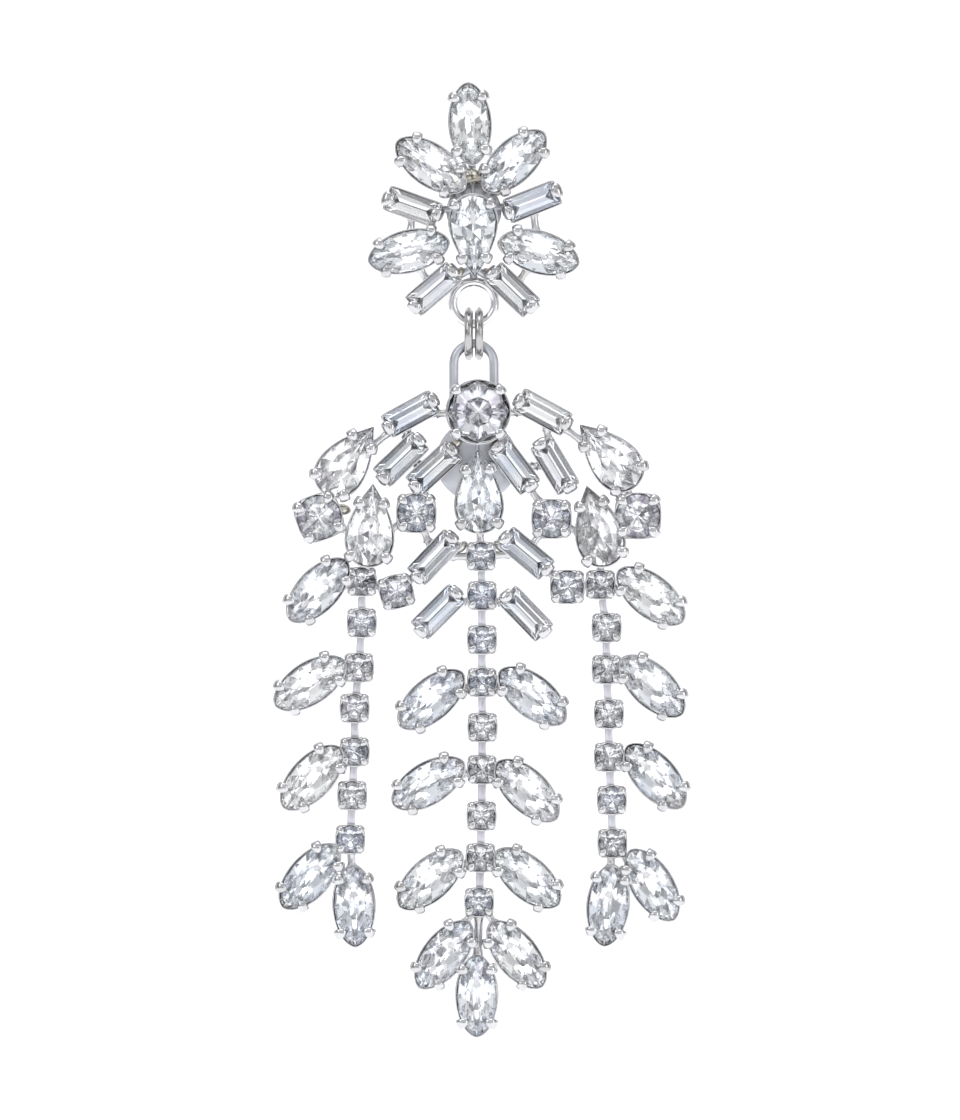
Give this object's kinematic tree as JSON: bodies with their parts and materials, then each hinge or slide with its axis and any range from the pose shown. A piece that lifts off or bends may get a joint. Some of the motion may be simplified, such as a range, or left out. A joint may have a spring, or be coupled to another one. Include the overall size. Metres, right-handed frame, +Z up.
{
  "type": "chandelier earring",
  "caption": "Chandelier drop earring: a flower-like stud of cut crystals, a soldered crystal frame hung from it on two jump rings, and three hanging crystal strands.",
  "frame": {"origin": "where the ear post leaves the back face of its pad, behind the middle of the stud", "axes": "+Z up along the hanging earring, +Y along the ear post away from the stones, +X to the right as seen from the front"},
  "size_m": [0.0429, 0.0159, 0.0998],
  "materials": {
    "silver_metal": "polished silver-coloured plating",
    "clear_crystal": "faceted clear crystal with a foiled back"
  },
  "bodies": {
    "stud": {"stud_setting": "silver_metal", "ear_post": "silver_metal", "stud_marquise_top": "clear_crystal", "stud_marquise_upper_left": "clear_crystal", "stud_marquise_upper_right": "clear_crystal", "stud_marquise_lower_left": "clear_crystal", "stud_marquise_lower_right": "clear_crystal", "stud_baguette_left": "clear_crystal", "stud_baguette_right": "clear_crystal", "stud_baguette_lower_left": "clear_crystal", "stud_baguette_lower_right": "clear_crystal", "stud_pear": "clear_crystal"},
    "link": {"jump_ring_left": "silver_metal", "jump_ring_right": "silver_metal"},
    "drop": {"drop_setting": "silver_metal", "drop_round_large": "clear_crystal", "drop_baguette_top_left": "clear_crystal", "drop_baguette_top_right": "clear_crystal", "drop_baguette_outer_left": "clear_crystal", "drop_baguette_outer_right": "clear_crystal", "drop_baguette_inner_left": "clear_crystal", "drop_baguette_inner_right": "clear_crystal", "drop_baguette_lower_left": "clear_crystal", "drop_baguette_lower_right": "clear_crystal", "drop_pear_centre": "clear_crystal", "drop_pear_outer_left": "clear_crystal", "drop_pear_outer_right": "clear_crystal", "drop_pear_lower_left": "clear_crystal", "drop_pear_lower_right": "clear_crystal", "drop_round_outer_left": "clear_crystal", "drop_round_outer_right": "clear_crystal", "drop_round_inner_left": "clear_crystal", "drop_round_inner_right": "clear_crystal", "drop_round_lower_left": "clear_crystal", "drop_round_lower_right": "clear_crystal", "drop_cup_centre": "clear_crystal", "drop_cup_left": "clear_crystal", "drop_cup_right": "clear_crystal", "drop_marquise_left": "clear_crystal", "drop_marquise_right": "clear_crystal", "centre_strand": "silver_metal", "left_strand": "silver_metal", "right_strand": "silver_metal"}
  },
  "joints": [
    {"name": "link_swing", "type": "hinge", "parent": "stud", "child": "link", "pos_m": [0, -0.0012, -0.012], "axis": [1, 0, 0], "range_deg": [-40, 40]},
    {"name": "drop_swing", "type": "hinge", "parent": "link", "child": "drop", "pos_m": [0, -0.0012, -0.01405], "axis": [1, 0, 0], "range_deg": [-40, 40]}
  ]
}
